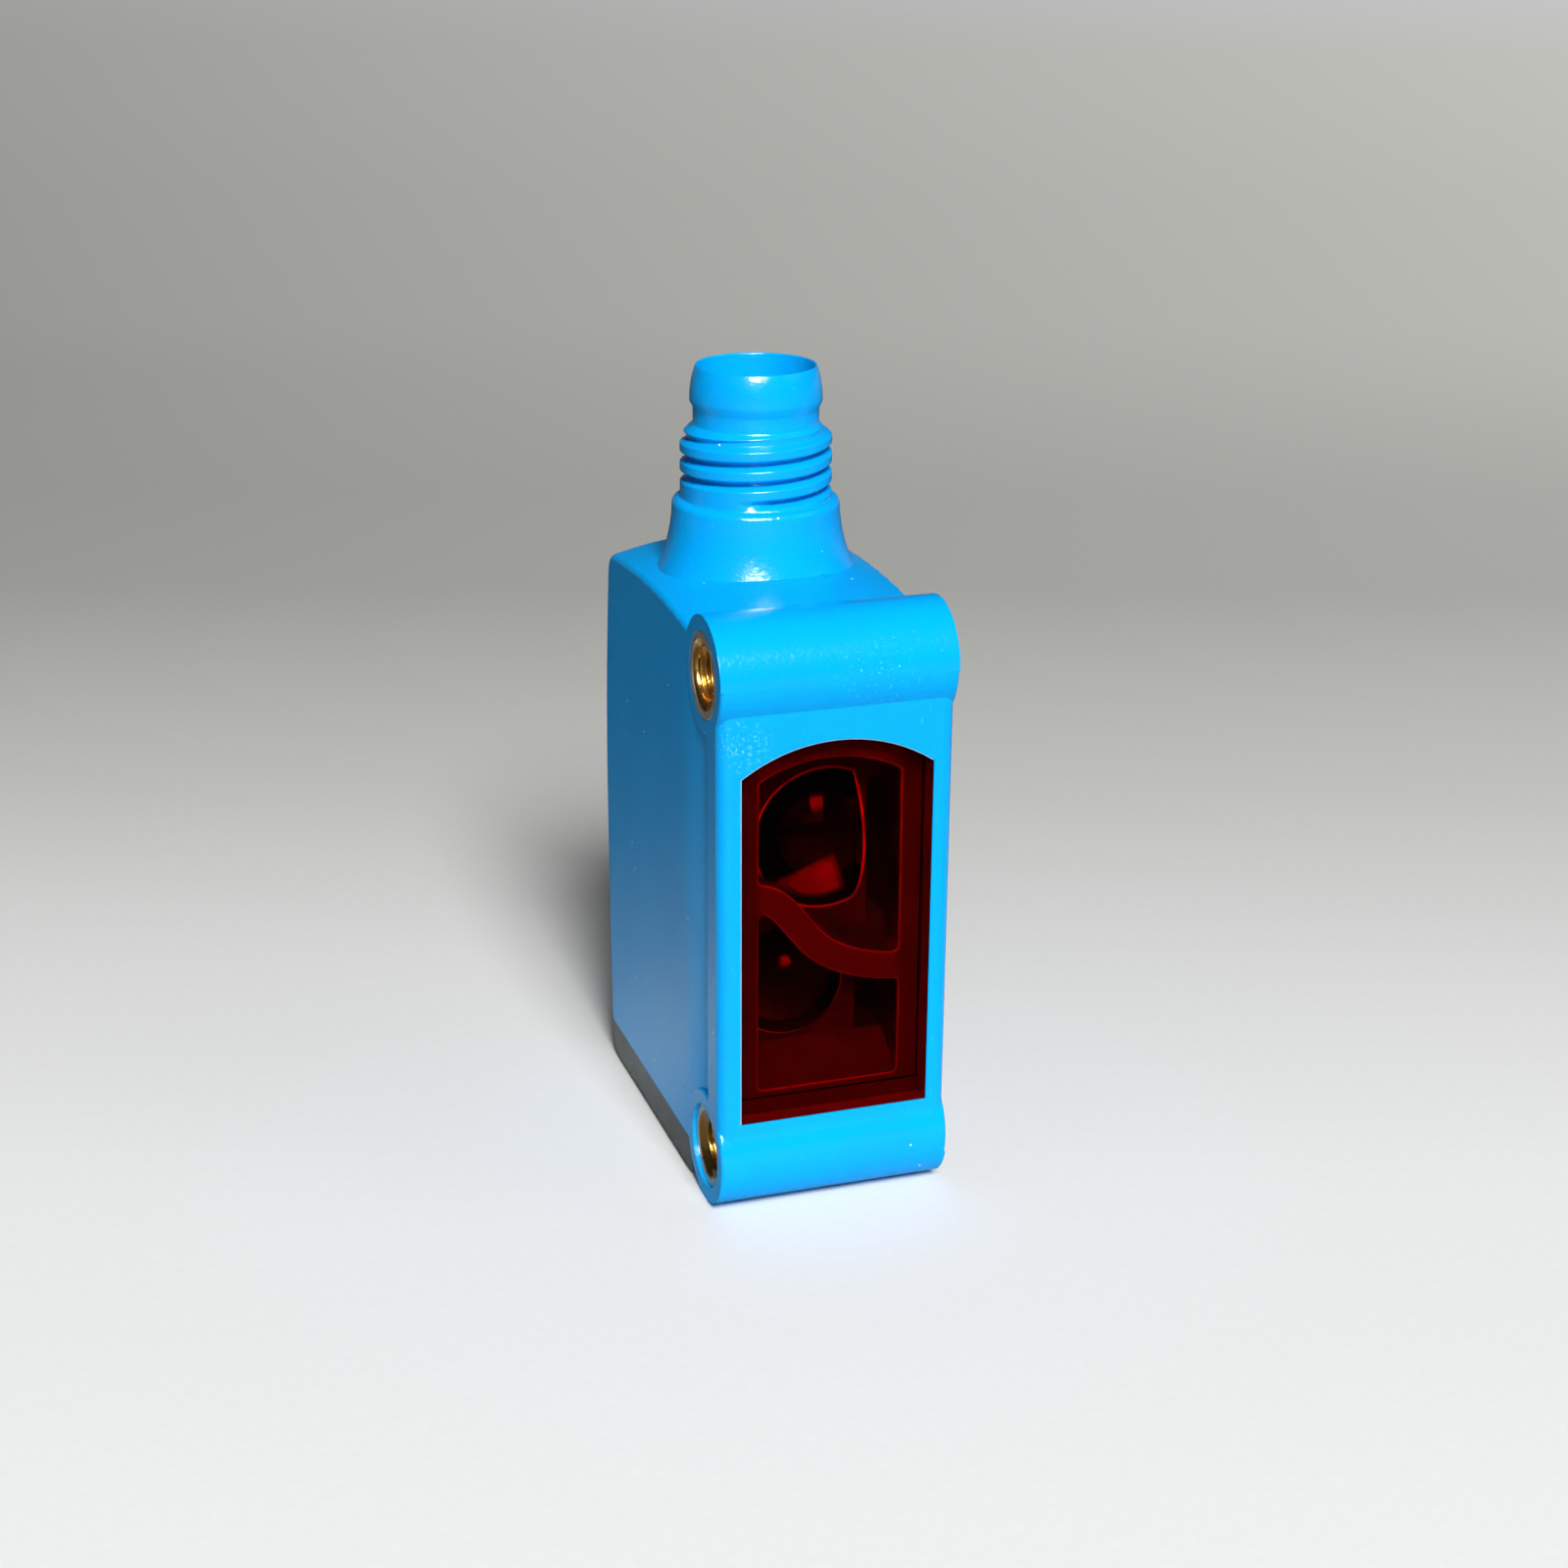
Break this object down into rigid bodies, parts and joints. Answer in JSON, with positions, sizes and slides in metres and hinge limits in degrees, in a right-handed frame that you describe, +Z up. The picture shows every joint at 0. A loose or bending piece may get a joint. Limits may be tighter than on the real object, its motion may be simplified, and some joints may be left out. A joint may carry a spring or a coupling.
{
  "type": "reflective optical sensor",
  "caption": "Slim photoelectric sensor with an arched dark-red window, two threaded mounting bosses and a round plug.",
  "frame": {"origin": "middle of the footprint, on the plane that the indicator cap rests on", "axes": "+Z up along the plug, -Y the way the window looks, X across the width along both mounting holes"},
  "size_m": [0.0122, 0.0218, 0.0412],
  "materials": {
    "blue_shell": "satin",
    "window_red": "gloss",
    "carrier_black": "satin",
    "clear_lens": "gloss",
    "board_green": "satin",
    "chip_black": "matt",
    "light_source": "gloss",
    "gold_pin": "polished",
    "sleeve_brass": "machined",
    "cap_grey": "satin",
    "seal_rubber": "matt",
    "clear_guide": "gloss",
    "trimmer_plastic": "satin",
    "rotor_white": "satin",
    "ceramic_tan": "satin"
  },
  "bodies": {
    "sensor": {"housing": "blue_shell", "front_window": "window_red", "optics_carrier": "carrier_black", "receiver_lens": "clear_lens", "sender_lens": "clear_lens", "sender_led": "light_source", "receiver_chip": "chip_black", "optics_board": "board_green", "board_link": "chip_black", "main_board": "board_green", "signal_processor": "chip_black", "output_driver": "chip_black", "ceramic_capacitors": "ceramic_tan", "indicator_cap": "cap_grey", "cap_seal": "seal_rubber", "indicator_board": "board_green", "power_led": "light_source", "output_led": "light_source", "power_light_guide": "clear_guide", "output_light_guide": "clear_guide", "trimmer_body": "trimmer_plastic", "contact_carrier": "chip_black", "contact_pin_1": "gold_pin", "contact_pin_2": "gold_pin", "contact_pin_3": "gold_pin", "contact_pin_4": "gold_pin", "socket_seal": "seal_rubber", "upper_sleeve": "sleeve_brass", "lower_sleeve": "sleeve_brass"},
    "adjuster": {"sensitivity_adjuster": "rotor_white"}
  },
  "joints": [
    {"name": "adjuster_turn", "type": "hinge", "parent": "sensor", "child": "adjuster", "pos_m": [0, 0.006, 0.002], "axis": [0, 0, 1], "range_deg": [-135, 135]}
  ]
}
